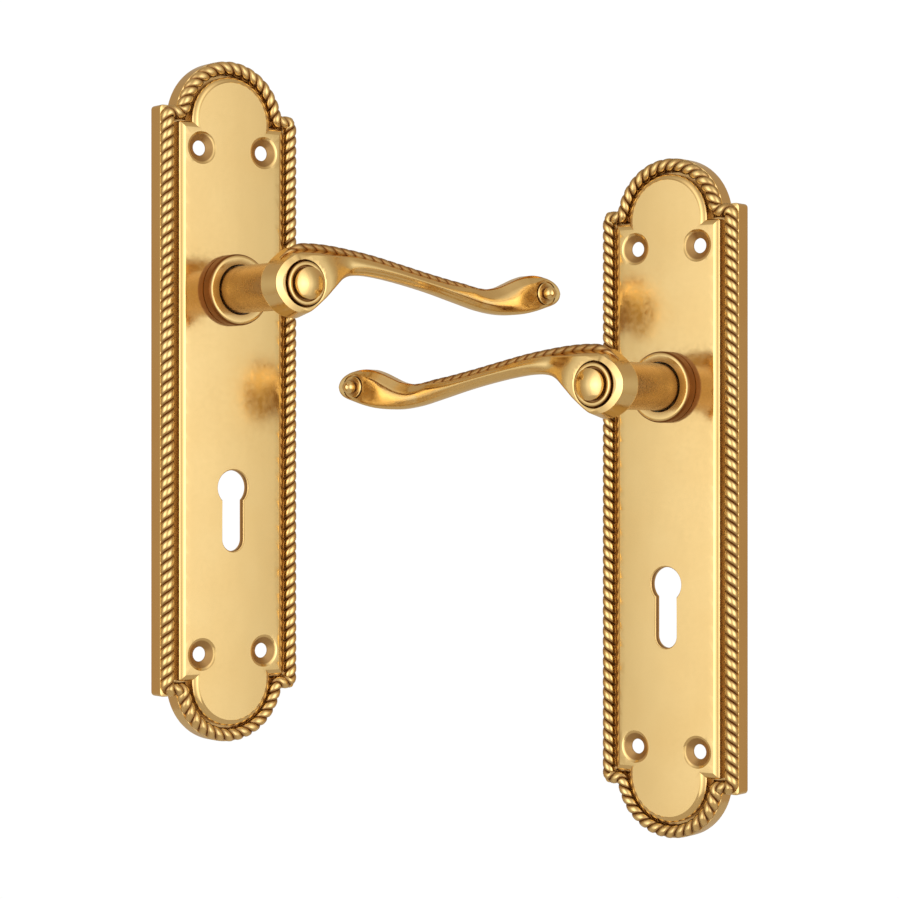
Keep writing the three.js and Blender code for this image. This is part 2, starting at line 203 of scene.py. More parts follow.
def lathe(profile, steps=96, at=(0, 0)):
    """A profile of (radius, level) points turned about an axis that runs out of the plate."""
    angles = np.linspace(0, 2 * math.pi, steps, endpoint=False)
    rings = [
        np.column_stack([at[0] + r * np.cos(angles), at[1] + r * np.sin(angles), np.full(steps, n)])
        for r, n in profile
    ]
    looped = profile[0][0] > 0
    return loft(rings[:-1] if looped else rings, looped=looped, caps=False)


def stained(skin, *regions):
    """Marks polishing compound and painted shade on the points for which a region's test holds:
    (test, amount) pairs.
    """
    x, y, n = skin.points.T
    for test, amount in regions:
        skin.polish_and_shade = np.maximum(skin.polish_and_shade, amount * test(x, y, n))
    return skin


def around(x, y, place=(0, 0)):
    return np.hypot(x - place[0], y - place[1])


def prism(outline, low, high):
    outline = np.asarray(outline, float)
    return loft([np.column_stack([outline, np.full(len(outline), n)]) for n in (low, high)])


def arc(x, y, radius, start, end, steps):
    angles = np.radians(np.linspace(start, end, steps + 1))
    return [(x + radius * math.cos(a), y + radius * math.sin(a)) for a in angles]


def polar(radius, degrees):
    return radius * math.cos(math.radians(degrees)), radius * math.sin(math.radians(degrees))


def smoothstep(x, low, high):
    t = np.clip((np.asarray(x, float) - low) / (high - low), 0, 1)
    return t * t * (3 - 2 * t)


# ---------------------------------------------------------------- Blender meshes

def mesh_object(name, points, faces):
    mesh = bpy.data.meshes.new(name)
    mesh.from_pydata([tuple(p) for p in points], [], faces)
    obj = bpy.data.objects.new(name, mesh)
    bpy.context.scene.collection.objects.link(obj)
    return obj


def tidy(obj, distance):
    """Merges points that meet and turns the faces outwards."""
    work = bmesh.new()
    work.from_mesh(obj.data)
    bmesh.ops.remove_doubles(work, verts=work.verts, dist=distance)
    bmesh.ops.dissolve_degenerate(work, edges=work.edges, dist=distance)
    bmesh.ops.recalc_face_normals(work, faces=work.faces)
    work.to_mesh(obj.data)
    work.free()


def apply_modifiers(obj):
    evaluated = obj.evaluated_get(bpy.context.evaluated_depsgraph_get())
    mesh = bpy.data.meshes.new_from_object(evaluated)
    obj.modifiers.clear()
    obj.data = mesh


def carved(skin, cuts, shape=None):
    """The skin with other skins cut away, in one half's millimetres."""
    base = mesh_object("carving", skin.points, skin.faces)
    tidy(base, MERGE)
    tools = []
    for tool in cuts:
        cutter = mesh_object("carving_tool", tool.points, tool.faces)
        tidy(cutter, MERGE)
        tools.append(cutter)
        modifier = base.modifiers.new("carve", "BOOLEAN")
        modifier.operation = "DIFFERENCE"
        modifier.object = cutter
        modifier.solver = "MANIFOLD"
    apply_modifiers(base)
    if shape:
        shape(base.data)
    points = [tuple(v.co) for v in base.data.vertices]
    faces = [tuple(p.vertices) for p in base.data.polygons]
    for obj in [base, *tools]:
        bpy.data.objects.remove(obj)
    return Skin(points, faces)


def add_piece(half, name, skin, body, material, slot, replaces, bevel=0.0, sharp=32):
    """One finished piece of one half, riding on a body of the frame."""
    faces = [face[::-1] for face in skin.faces] if half.mirrored else skin.faces
    obj = mesh_object(f"{half.hand}_{name}", half.place(skin.points), faces)
    polish_and_shade = obj.data.attributes.new("polish_and_shade", "FLOAT", "POINT")
    polish_and_shade.data.foreach_set("value", skin.polish_and_shade)
    tidy(obj, MERGE * MM)
    if bevel:
        modifier = obj.modifiers.new("soft_edges", "BEVEL")
        modifier.width = bevel * MM
        modifier.segments = 3
        modifier.limit_method = "ANGLE"
        modifier.angle_limit = math.radians(sharp)
        apply_modifiers(obj)
    obj.data.shade_smooth()
    obj.data.set_sharp_from_angle(angle=math.radians(sharp))
    weighted = obj.modifiers.new("flat_faces", "WEIGHTED_NORMAL")
    weighted.keep_sharp = True
    weighted.weight = 80
    apply_modifiers(obj)
    obj.data.materials.clear()
    obj.data.materials.append(material)
    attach(obj, body)
    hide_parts(f"{half.hand}_{replaces}")
    return obj


# ---------------------------------------------------------------- materials

def link(tree, source, target):
    tree.links.new(source, target)


def node(tree, kind, **inputs):
    made = tree.nodes.new(kind)
    for key, value in inputs.items():
        made.inputs[key.replace("_", " ")].default_value = value
    return made


def math_node(tree, operation, first, second=None):
    made = tree.nodes.new("ShaderNodeMath")
    made.operation = operation
    for socket, value in zip(made.inputs, (first, second)):
        if isinstance(value, bpy.types.NodeSocket):
            link(tree, value, socket)
        elif value is not None:
            socket.default_value = value
    return made.outputs[0]


def noise(tree, coordinates, scale, detail=3.0, roughness=0.5):
    made = node(tree, "ShaderNodeTexNoise", Scale=scale, Detail=detail, Roughness=roughness)
    link(tree, coordinates, made.inputs["Vector"])
    return made.outputs["Fac"]


def ramp(tree, factor, stops):
    made = tree.nodes.new("ShaderNodeValToRGB")
    elements = made.color_ramp.elements
    while len(elements) < len(stops):
        elements.new(0.5)
    for element, (place, colour) in zip(elements, stops):
        element.position = place
        element.color = (*colour, 1)
    link(tree, factor, made.inputs["Fac"])
    return made.outputs["Color"]


def remap(tree, value, low, high, from_low=0.0, from_high=1.0):
    limits = dict(From_Min=from_low, From_Max=from_high, To_Min=low, To_Max=high)
    made = node(tree, "ShaderNodeMapRange", **limits)
    link(tree, value, made.inputs["Value"])
    return made.outputs["Result"]


def mixed(tree, factor, first, second):
    made = tree.nodes.new("ShaderNodeMix")
    made.data_type = "RGBA"
    colour_sockets = made.inputs[6], made.inputs[7]
    for socket, value in zip((made.inputs[0], *colour_sockets), (factor, first, second)):
        if isinstance(value, bpy.types.NodeSocket):
            link(tree, value, socket)
        else:
            socket.default_value = value if isinstance(value, float) else (*value, 1)
    return made.outputs[2]


def bumped(tree, height, strength, distance, normal=None):
    made = node(tree, "ShaderNodeBump", Strength=strength, Distance=distance)
    link(tree, height, made.inputs["Height"])
    if normal:
        link(tree, normal, made.inputs["Normal"])
    return made.outputs["Normal"]


BRASS = (0.87, 0.64, 0.29)
BRASS_DEEP = (0.78, 0.50, 0.17)
# Painted shade: a dark brown for polishing compound in hollows and for shade and dark reflections.
POLISH_SHADE_BROWN = (0.21, 0.065, 0.012)
DRIFT_SCALE, WAVE_SCALE, GRAIN_SCALE = 45.0, 70.0, 700.0
WAVE_DEPTH, GRAIN_DEPTH = 0.0004, 0.00004


def new_material(name, metallic=0.0):
    """A material, its node tree and shader, and the coordinates on the piece that wears it."""
    material = bpy.data.materials.new(name)
    material.use_nodes = True
    tree = material.node_tree
    shader = tree.nodes["Principled BSDF"]
    shader.inputs["Metallic"].default_value = metallic
    return material, tree, shader, tree.nodes.new("ShaderNodeTexCoord").outputs["Object"]


def brass(name, roughness=0.1, wave=0.25, grain=0.04, tint=0.25):
    """Polished and lacquered brass: a slow waviness from the buffing wheel, fine wipe marks,
    a little colour drift, and a dull brown mixed in by each point's share: polishing compound in
    hollows, painted shade and painted dark reflections."""
    material, tree, shader, where = new_material(name, metallic=1.0)
    drift = noise(tree, where, DRIFT_SCALE, 2.0)
    clouds = remap(tree, drift, 0.0, tint, 0.35, 0.7)
    colour = mixed(tree, clouds, BRASS, BRASS_DEEP)
    # Painted shade: each point's share mixes the dark brown into the brass, for compound in hollows
    # and for shade and dark reflections.
    polish_and_shade = tree.nodes.new("ShaderNodeAttribute")
    polish_and_shade.attribute_name = "polish_and_shade"
    colour = mixed(tree, polish_and_shade.outputs["Fac"], colour, POLISH_SHADE_BROWN)
    link(tree, colour, shader.inputs["Base Color"])
    fine = noise(tree, where, GRAIN_SCALE, 2.0)
    rough = remap(tree, fine, roughness * 0.75, roughness * 1.35, 0.3, 0.7)
    dull = remap(tree, polish_and_shade.outputs["Fac"], 0.0, 0.3)
    link(tree, math_node(tree, "ADD", rough, dull), shader.inputs["Roughness"])
    slow = noise(tree, where, WAVE_SCALE, 1.0)
    normal = bumped(tree, slow, wave, WAVE_DEPTH)
    normal = bumped(tree, fine, grain, GRAIN_DEPTH, normal)
    link(tree, normal, shader.inputs["Normal"])
    return material


def steel(name, colour, roughness):
    material, tree, shader, where = new_material(name, metallic=1.0)
    patches = noise(tree, where, 300.0, 5.0, 0.65)
    darker = tuple(0.7 * c for c in colour)
    link(tree, mixed(tree, patches, colour, darker), shader.inputs["Base Color"])
    link(tree, remap(tree, patches, roughness * 0.7, roughness * 1.4), shader.inputs["Roughness"])
    link(tree, bumped(tree, noise(tree, where, 2500.0, 2.0), 0.3, 0.00003), shader.inputs["Normal"])
    return material


def nylon():
    material, tree, shader, where = new_material("nylon")
    shader.inputs["Subsurface Weight"].default_value = 0.15
    shader.inputs["Subsurface Scale"].default_value = 0.001
    flow = noise(tree, where, 200.0, 3.0)
    colour = mixed(tree, flow, (0.86, 0.84, 0.77), (0.78, 0.75, 0.66))
    link(tree, colour, shader.inputs["Base Color"])
    link(tree, remap(tree, flow, 0.4, 0.6), shader.inputs["Roughness"])
    link(tree, bumped(tree, noise(tree, where, 1800.0), 0.2, 0.00005), shader.inputs["Normal"])
    return material


PANEL_BRASS = brass("panel_brass", roughness=0.13, wave=0.12)
ROPE_BRASS = brass("rope_brass", roughness=0.2, wave=0.1, grain=0.1, tint=0.4)
LEVER_BRASS = brass("lever_brass", roughness=0.17, wave=0.15)
TURNED_BRASS = brass("turned_brass", roughness=0.12, wave=0.06)
PLATED_STEEL = steel("plated_steel", (0.62, 0.62, 0.64), 0.32)
SPRING_STEEL = steel("spring_steel", (0.3, 0.3, 0.32), 0.35)
NYLON = nylon()


# ---------------------------------------------------------------- backplate

def stepped_outline(step, inset=0.0, end_steps=48):
    """The stepped outline drawn in by an inset, anticlockwise from its lowest right corner."""
    side = step["half_width"] - inset
    shoulder = step["shoulder"] - inset
    rounding = max(step["corner"] - inset, SHARPEST_CORNER)
    radius = step["end_radius"] - inset
    spring = math.degrees(math.asin((shoulder - step["end_centre"]) / radius))
    straight = shoulder / 1.02  # the side stops short of its corners
    half = [
        *[(side, y) for y in np.linspace(-straight, straight, SIDE_STEPS)],
        *arc(side - rounding, shoulder - rounding, rounding, 0, 90, 6),
        *arc(0, step["end_centre"], radius, spring, 180 - spring, end_steps),
        *arc(rounding - side, shoulder - rounding, rounding, 90, 180, 6),
    ]
    flank, upper = half[:SIDE_STEPS], half[SIDE_STEPS:]
    points = flank + upper + [(-x, -y) for x, y in flank] + [(-x, -y) for x, y in upper]
    return np.array(points) + (0, PLATE_MID)


def plate_ring(step, inset, level):
    outline = stepped_outline(step, inset)
    return np.column_stack([outline, np.full(len(outline), level)])


def keyhole_rings():
    """The keyhole as a cutter that flares where it meets the panel's face."""
    meet = math.degrees(math.asin(KEYHOLE["slot"] / KEYHOLE["radius"]))
    rings = []
    flare = [(0.0, -1.0), (0.0, FACE - HOLE_ROUND)]
    flare += [(HOLE_ROUND * (1 - math.cos(t)), FACE - HOLE_ROUND * (1 - math.sin(t)))
              for t in np.radians([25, 45, 62, 76])]
    flare += [(HOLE_ROUND * 1.6, FACE + 0.1)]
    for grow, level in flare:
        slot = KEYHOLE["slot"] + grow
        outline = arc(0, -KEYHOLE["drop"], KEYHOLE["radius"] + grow, meet - 90, 270 - meet, 56)
        outline += arc(0, KEYHOLE["slot"] - KEYHOLE["foot"], slot, 180, 360, 32)
        rings.append([(x, y, level) for x, y in outline])
    return loft(rings)


def screw_hole(x, y):
    """A countersunk hole whose rim is rounded over into the face."""
    foot = FACE - SCREW["depth"]
    rim = SCREW["sink"]
    profile = [(0, -1), (SCREW["radius"], -1), (SCREW["radius"], foot), (rim - 0.35, FACE - 0.38),
               (rim - 0.05, FACE - 0.18), (rim + 0.3, FACE - 0.05), (rim + 0.6, FACE + 0.02),
               (rim + 1.2, FACE + CROWN), (0, FACE + CROWN)]
    return lathe(profile, 64, (x, y))


def crowned(mesh):
    """Cuts the panel's flat face into strips and swells it by the crown."""
    work = bmesh.new()
    work.from_mesh(mesh)
    cuts = [((x, 0, 0), (1, 0, 0)) for x in np.linspace(*CROWN_CUTS["across"])]
    cuts += [((0, y, 0), (0, 1, 0)) for y in np.linspace(*CROWN_CUTS["up"])]
    for place, normal in cuts:
        top = [f for f in work.faces
               if f.normal.z > 0.99 and f.calc_center_median().z > FACE - 0.01]
        edges, corners = (e for f in top for e in f.edges), (v for f in top for v in f.verts)
        geometry = list({*top, *edges, *corners})
        bmesh.ops.bisect_plane(work, geom=geometry, dist=1e-4, plane_co=place, plane_no=normal)
    reach = PANEL["half_width"] - EDGE_WIDTH
    for vert in work.verts:
        if vert.co.z > FACE - 1e-3:
            vert.co.z += CROWN * max(0.0, 1 - (vert.co.x / reach) ** 2)
    work.to_mesh(mesh)
    work.free()


def inside(step, inset, x, y):
    """Whether points lie within the stepped outline drawn in by an inset."""
    rise = abs(y - PLATE_MID)
    body = (abs(x) < step["half_width"] - inset) & (rise < step["shoulder"] - inset)
    return body | (around(x, rise, (0, step["end_centre"])) < step["end_radius"] - inset)


def backplate_skin():
    bed = 2 * ROPE["radius"]
    rings = [plate_ring(*ring) for ring in (
        (PANEL, PANEL_WALL, PANEL_BACK), (PANEL, PANEL_WALL, CHANNEL_BACK),
        (PLATE, RIM, CHANNEL_BACK), (PLATE, RIM, 0.0), (PLATE, 0.2, 0.0), (PLATE, 0.0, 0.2),
        (PLATE, 0.0, WALL_TOP - 0.3), (PLATE, 0.1, WALL_TOP), (PLATE, 1.0, WALL_TOP + 0.2),
        (PLATE, bed - 1.0, WALL_TOP + 0.2), (PLATE, bed - 0.2, CHANNEL), (PANEL, 0.0, CHANNEL))]
    for t in np.linspace(0, 1, 9):
        turn = math.radians(90 * t)
        inset = (1 - math.cos(turn) + t) / 2
        drop = (1 - math.sin(turn) + 1 - t) / 2
        rings.append(plate_ring(PANEL, EDGE_WIDTH * inset, FACE - ROUNDING * drop))
    body = loft(rings)
    places = [(x * SCREW["side"], PLATE_MID + y * SCREW["rise"])
              for x in (-1, 1) for y in (-1, 1)]
    bore = COLLAR["spigot"] + GAP
    cuts = [screw_hole(x, y) for x, y in places]
    cuts += [keyhole_rings(), lathe([(0, -1), (bore, -1), (bore, FACE + 1), (0, FACE + 1)], 96)]
    blind = [(0, -1), (PIN["hole"], -1), (PIN["hole"], PIN["hole_top"]), (0, PIN["hole_top"])]
    cuts += [lathe(blind, 32, polar(PIN["orbit"], angle)) for angle in PIN_ANGLES.values()]
    skin = carved(body, cuts=cuts, shape=crowned)
    front = PANEL_BACK + 0.1

    # Painted shade: the rope channel, the countersinks and the keyhole's walls are darkened, partly
    # for polishing compound there and partly as painted shade.
    def in_channel(x, y, n):
        return inside(PLATE, 2.1, x, y) & ~inside(PANEL, 0.1, x, y) & (n > 3)

    def in_sinks(x, y, n):
        near = [around(x, y, place) < SCREW["sink"] - 0.2 for place in places]
        return np.any(near, axis=0) & (n > front)

    def in_keyhole(x, y, n):
        return (around(x, y, KEYHOLE["middle"]) < KEYHOLE["reach"]) & (n > front) & (n < FACE - 0.2)

    return stained(skin, (in_channel, POLISH_AND_SHADE_BY_PLACE["channel"]), (in_sinks, POLISH_AND_SHADE_BY_PLACE["sink"]),
                   (in_keyhole, POLISH_AND_SHADE_BY_PLACE["keyhole"]))


# ---------------------------------------------------------------- rope mouldings

def even_path(points, step, closed):
    """Points evenly spaced along a path, near the given step."""
    points = np.asarray(points, float)
    if closed:
        points = np.vstack([points, points[:1]])
    lengths = np.concatenate([[0], np.cumsum(np.linalg.norm(np.diff(points, axis=0), axis=1))])
    count = max(int(round(lengths[-1] / step)), 2)
    where = np.linspace(0, lengths[-1], count + 1)[: count if closed else count + 1]
    even = np.column_stack([np.interp(where, lengths, column) for column in points.T])
    return even, where, lengths[-1]


def softened_turns(path, closed, passes):
    """Rounds a path's corners by averaging neighbours."""
    for _ in range(passes):
        before, after = np.roll(path, 1, axis=0), np.roll(path, -1, axis=0)
        smooth = (before + 2 * path + after) / 4
        if not closed:
            smooth[0], smooth[-1] = path[0], path[-1]
        path = smooth
    return path


def rope_skin(path, closed, size, kind):
    """Strands twisted round a flat path: a lobed section that turns as it goes along."""
    strands = kind["strands"]
    phase = np.tile(np.linspace(-1, 1, STRAND["points"], endpoint=False), strands)
    strand = np.repeat(np.arange(strands), STRAND["points"])
    angle = (strand + (phase + 1) / 2) * 2 * math.pi / strands
    path, where, length = even_path(path, ROPE_STEP, closed)
    path = softened_turns(path, closed, kind["bend"])
    lay = kind["pitch"] * strands
    if closed:
        lay = length / round(length / lay)
        tangent = np.roll(path, -1, axis=0) - np.roll(path, 1, axis=0)
    else:
        tangent = np.gradient(path, axis=0)
    tangent /= np.linalg.norm(tangent, axis=1)[:, None]
    side = np.column_stack([tangent[:, 1], -tangent[:, 0]])
    sizes = np.broadcast_to(size(where / length), where.shape)
    rings = []
    for point, across, distance, radius in zip(path, side, where, sizes):
        turned = angle - 2 * math.pi * distance / lay
        reach = radius * (1 - kind["valley"] / 2 * np.abs(phase) ** STRAND["hollow"])
        out = reach * np.cos(turned)
        rings.append(np.column_stack([point[0] + out * across[0], point[1] + out * across[1],
                                      kind["level"] + reach * np.sin(turned)]))
    # Painted shade: each strand darkens towards its edges, where the grooves lie, for shade and
    # polishing compound there.
    polish_and_shade = np.tile(np.abs(phase) ** STRAND["groove_polish_and_shade"], len(path))
    return loft(rings, looped=closed, polish_and_shade=polish_and_shade)


def plate_rope_skin():
    path = stepped_outline(PLATE, ROPE["radius"], end_steps=60)[::-1]
    return rope_skin(path, True, lambda t: ROPE["radius"], ROPE)


# ---------------------------------------------------------------- lever handle

def catmull_rom(points, steps=24):
    """A closed smooth curve through the points."""
    points = np.asarray(points, float)
    t = np.linspace(0, 1, steps, endpoint=False)[:, None]
    curve = []
    for i in range(len(points)):
        p0, p1, p2, p3 = (points[(i + k) % len(points)] for k in (-1, 0, 1, 2))
        curve.append(0.5 * (2 * p1 + (p2 - p0) * t + (2 * p0 - 5 * p1 + 4 * p2 - p3) * t ** 2
                            + (3 * p1 - p0 - 3 * p2 + p3) * t ** 3))
    return np.vstack(curve)


LEVER_TOP = [(6, 10.6), (13.5, 10.0), (24, 8.5), (34, 6.5), (44, 4.4), (54, 2.5), (62, 1.4)]
LEVER_UNDER = [(7.6, -4.9), (10.9, -1.5), (14.0, 1.3), (17.6, 2.9), (22, 3.3), (28, 2.8), (36, 1.5),
               (46, -0.6), (57, -3.4), (64.5, -5.2), (72, -6.1), (80, -5.6), (87.5, -3.6)]
LEVER_TIP = [(91.6, -2.0), (93.1, 0.4), (91.8, 3.2), (88.2, 5.1), (82.7, 5.9), (78.6, 5.0),
             (74.6, 3.4), (71, 2.0), (67, 1.3)]


def scroll_points():
    start, step = VOLUTE["start"], VOLUTE["step"]
    return [polar(radius, start + i * step) for i, radius in enumerate(VOLUTE["radii"])]


def lever_chains(stations=220):
    """The outline's upper and lower sides at the same places along the handle."""
    curve = catmull_rom([*scroll_points(), *LEVER_UNDER, *LEVER_TIP, *LEVER_TOP[::-1]])
    left, right = int(np.argmin(curve[:, 0])), int(np.argmax(curve[:, 0]))
    curve = np.roll(curve, -left, axis=0)
    right = (right - left) % len(curve)
    under, over = curve[: right + 1], np.vstack([curve[right:], curve[:1]])[::-1]
    share = (1 - np.cos(np.linspace(0, math.pi, stations))) / 2
    x = curve[0, 0] + (curve[right, 0] - curve[0, 0]) * share
    return [np.column_stack([x, np.interp(x, side[:, 0], side[:, 1])]) for side in (over, under)]


def lever_face(x, y):
    """The front's level: a round flat head, a fall to the arm, and a rise to the tip."""
    fall = smoothstep(around(x, y), *HEAD_FALL) * smoothstep(x, *HEAD_SIDE) * (ARM_FACE - HEAD_FACE)
    climb = np.clip((x - TIP_CLIMB["start"]) / TIP_CLIMB["length"], 0, 1)
    return HEAD_FACE + fall + climb * (TIP_RISE - ARM_FACE)


def lever_skin():
    """The handle's skin: its outline drawn in ring by ring over the back and front edges."""
    over, under = lever_chains()
    ring = np.vstack([over, under[-2:0:-1]])
    on_top = np.arange(len(ring)) < len(over)
    tangent = np.roll(ring, -1, axis=0) - np.roll(ring, 1, axis=0)
    tangent /= np.linalg.norm(tangent, axis=1)[:, None]
    inward = np.column_stack([tangent[:, 1], -tangent[:, 0]])
    x = ring[:, 0]
    slim = 1 - 0.65 * smoothstep(x, 74, 86)
    rounding = 0.8 - 0.3 * smoothstep(x, -4, 2)
    rounding += np.where(on_top, 0.8, 1.4) * smoothstep(x, 6, 20) * slim
    lip = (1.1 - 0.5 * smoothstep(x, 8, 24)) * np.clip(-inward[:, 1], 0, 1) ** 2
    lip *= smoothstep(x, -9, -2)
    lip *= 1 - smoothstep(x, 50, 62)
    taper = HEAD_TAPER * (1 - smoothstep(x, 6, 20))
    at_tip = np.where(on_top, smoothstep(x, 60, 68) * (1 - smoothstep(x, 82, 88)), 0)
    at_head = 1 - smoothstep(x, -3, 3)
    chamfer = at_tip + at_head
    wide = TIP_CHAMFER["wide"] * at_tip + HEAD_CHAMFER["wide"] * at_head
    deep = TIP_CHAMFER["deep"] * at_tip + HEAD_CHAMFER["deep"] * at_head
    end_turn = 90 - 18 * smoothstep(x, 8, 22)
    sweep = np.sin(np.radians(end_turn))
    span = rounding / sweep
    back_edge = 0.6 + 1.0 * smoothstep(x, 8, 22)
    face = lever_face(*(ring + inward * (taper + lip + rounding)[:, None]).T)

    def row(inset, level):
        return np.column_stack([ring + inward * inset[:, None], level])

    rings = []
    for turn in np.radians(np.linspace(90, 0, 7)):
        rise = back_edge * (1 - math.sin(turn))
        rings.append(row(back_edge * (1 - math.cos(turn)), HEAD_BACK + rise))
    rings.append(row(taper, face - rounding - 1.3 * lip))
    for part in np.linspace(0, 1, 11):
        turn = np.radians(part * end_turn)
        inset = taper + (1 - chamfer) * rounding * (1 - np.cos(turn)) + wide * part + lip
        drop = (1 - chamfer) * span * (sweep - np.sin(turn)) + deep * (1 - part)
        rings.append(row(inset, face - drop))
    skin = loft(rings, caps=False)
    back = rung_cap(rings[0], len(over), flip=True)
    front = rung_cap(rings[-1], len(over))
    return skin.joined(back).joined(front)


def rung_cap(ring, half, flip=False, steps=12):
    """Closes a lever ring with rungs from its upper side to its lower one, crowned in front."""
    over = ring[:half]
    under = np.vstack([ring[:1], ring[half:][::-1], ring[half - 1:half]])
    v = np.linspace(0, 1, steps + 1)
    rows = over[:, None, :] * (1 - v)[None, :, None] + under[:, None, :] * v[None, :, None]
    if not flip:
        x, y, level = rows[:, :, 0], rows[:, :, 1], rows[:, :, 2]
        crown = ARM_CROWN * smoothstep(x, 8, 22) * (1 - smoothstep(x, 76, 84))
        arch = (1 - (2 * v - 1) ** 2)[None, :]
        round_head = (lever_face(x, y) - level) * np.clip(3 * arch, 0, 1)
        rows[:, :, 2] += crown * arch + round_head
    faces = grid_faces(len(over), steps + 1)
    if flip:
        faces = [face[::-1] for face in faces]
    return Skin(rows.reshape(-1, 3), faces)


def handle_skin():
    bore = BOSS["bore"]
    boss_bore = lathe([(0, HEAD_BACK - 1), (bore, HEAD_BACK - 1), (bore, HEAD_FACE - 0.35),
                       (bore + 0.12, HEAD_FACE - 0.12), (bore + 0.45, HEAD_FACE + 0.05),
                       (0, HEAD_FACE + 0.05)])
    stem = TIP["stem"] + GAP
    seat = TIP["radius"] + 0.4
    stem_hole = lathe([(0, TIP_FACE - 3), (stem, TIP_FACE - 3), (stem, TIP_FACE), (seat, TIP_FACE),
                       (seat, TIP_FACE + 2), (0, TIP_FACE + 2)], 64, (TIP["across"], TIP["rise"]))
    return carved(lever_skin(), cuts=[boss_bore, stem_hole])


def lever_rope_skin():
    """The rope bead: up over the scroll, along the arm's top edge, and out before the tip."""
    scroll = [(-8.5, 5.2), (-6.5, 7.0), (-4.6, 8.3), (-2.4, 9.5), (0, 10.2)]
    top = [(x, y - LEVER_ROPE["sunk"]) for x, y in LEVER_TOP] + [(67, 0.9), (72, 0.7)]
    steps = 12
    curve = catmull_rom(scroll + top, steps)[steps: steps * (len(scroll) + len(top) - 2)]

    def size(t):
        taper = smoothstep(t, 0, 0.1) * (1 - 0.75 * smoothstep(t, 0.86, 1))
        return LEVER_ROPE["radius"] * (0.15 + 0.85 * taper) * (1 - 0.18 * t)

    skin = rope_skin(curve, False, size, LEVER_ROPE)
    # Painted shade: the whole bead is darkened by its share, rising to full brown in the grooves
    # between strands.
    skin.polish_and_shade = POLISH_AND_SHADE_BY_PLACE["lever_rope"] + (1 - POLISH_AND_SHADE_BY_PLACE["lever_rope"]) * skin.polish_and_shade
    return skin


# ---------------------------------------------------------------- turned pieces

def collar_skin():
    c = COLLAR
    rounded = arc(c["radius"] - 1.2, c["top"] - 1.2, 1.2, 0, 90, 8)
    skin = lathe([(c["bore"], PANEL_BACK), (c["spigot"], PANEL_BACK), (c["spigot"], FACE + GAP),
                  (c["radius"], FACE + GAP), *rounded, (c["mouth"], c["top"]), (c["mouth"], c["lip"]),
                  (c["bore"], c["lip"]), (c["bore"], PANEL_BACK)])
    # Painted dark reflection and shade: the collar's outer side is darkened almost fully, and its
    # mouth by half, partly for compound there.
    side = lambda x, y, n: (around(x, y) > c["radius"] - 0.5) & (n > FACE)
    mouth = lambda x, y, n: around(x, y) < c["mouth"] + 0.1
    return stained(skin, (side, POLISH_AND_SHADE_BY_PLACE["collar_side"]), (mouth, POLISH_AND_SHADE_BY_PLACE["collar_mouth"]))


def bush_skin():
    b = BUSH
    return lathe([(b["inner"], b["back"]), (b["outer"], b["back"]), (b["outer"], b["top"]),
                  (b["inner"], b["top"]), (b["inner"], b["back"])])


def box_skin(width, height, low, high, y=0.0):
    x, bottom, top = width / 2, y - height / 2, y + height / 2
    return prism([(-x, bottom), (x, bottom), (x, top), (-x, top)], low, high)


def neck_skin():
    """The shank with its flats, clip groove and square socket, and the ring and dome in front."""
    n, b = NECK, BOSS
    seat = HEAD_BACK - GAP
    edge = arc(b["spigot"] - 0.55, b["face"] - 0.55, 0.55, 0, 90, 6)
    inner = arc(b["groove"] + 0.35, b["face"] - 0.35, 0.35, 90, 180, 5)
    low, high = b["shoulder"], b["top"]
    dome = [(b["dome"] * math.sqrt(1 - part), low + (high - low) * part)
            for part in np.linspace(0, 1, 22)[:-1]]
    profile = [(0, n["back"]), (n["radius"], n["back"]), (n["radius"], seat), (b["spigot"], seat),
               *edge, *inner, (b["groove"], b["floor"]), (b["dome"], b["floor"]), *dome,
               (0, b["top"])]
    wide, cut = 4 * n["radius"], n["radius"] - n["flat"]
    flats = [box_skin(wide, 2 * cut, n["back"] - 1, n["flat_top"], side * (n["flat"] + cut))
             for side in (-1, 1)]
    groove = lathe([(CLIP["groove"], CLIP["low"] - GAP), (n["radius"] + 1, CLIP["low"] - GAP),
                    (n["radius"] + 1, CLIP["high"] + GAP), (CLIP["groove"], CLIP["high"] + GAP),
                    (CLIP["groove"], CLIP["low"] - GAP)])
    socket = box_skin(2 * n["socket"], 2 * n["socket"], n["back"] - 1, n["socket_top"])
    skin = carved(lathe(profile), cuts=[*flats, groove, socket])

    # Painted shade and dark reflection: the shank is darkened by half, the ring's side and the moat
    # round the dome nearly fully, the moat partly for compound.
    def on_ring_side(x, y, n):
        return (around(x, y) > b["spigot"] - 0.1) & (n > seat + 1) & (n < b["face"])

    def in_moat(x, y, n):
        r = around(x, y)
        return (r > b["dome"] - 0.05) & (r < b["groove"] + 0.1) & (n < low - 0.05) & (n > seat)

    return stained(skin, (lambda x, y, n: n < seat + 0.1, POLISH_AND_SHADE_BY_PLACE["shank"]),
                   (on_ring_side, POLISH_AND_SHADE_BY_PLACE["ring_side"]), (in_moat, POLISH_AND_SHADE_BY_PLACE["moat"]))


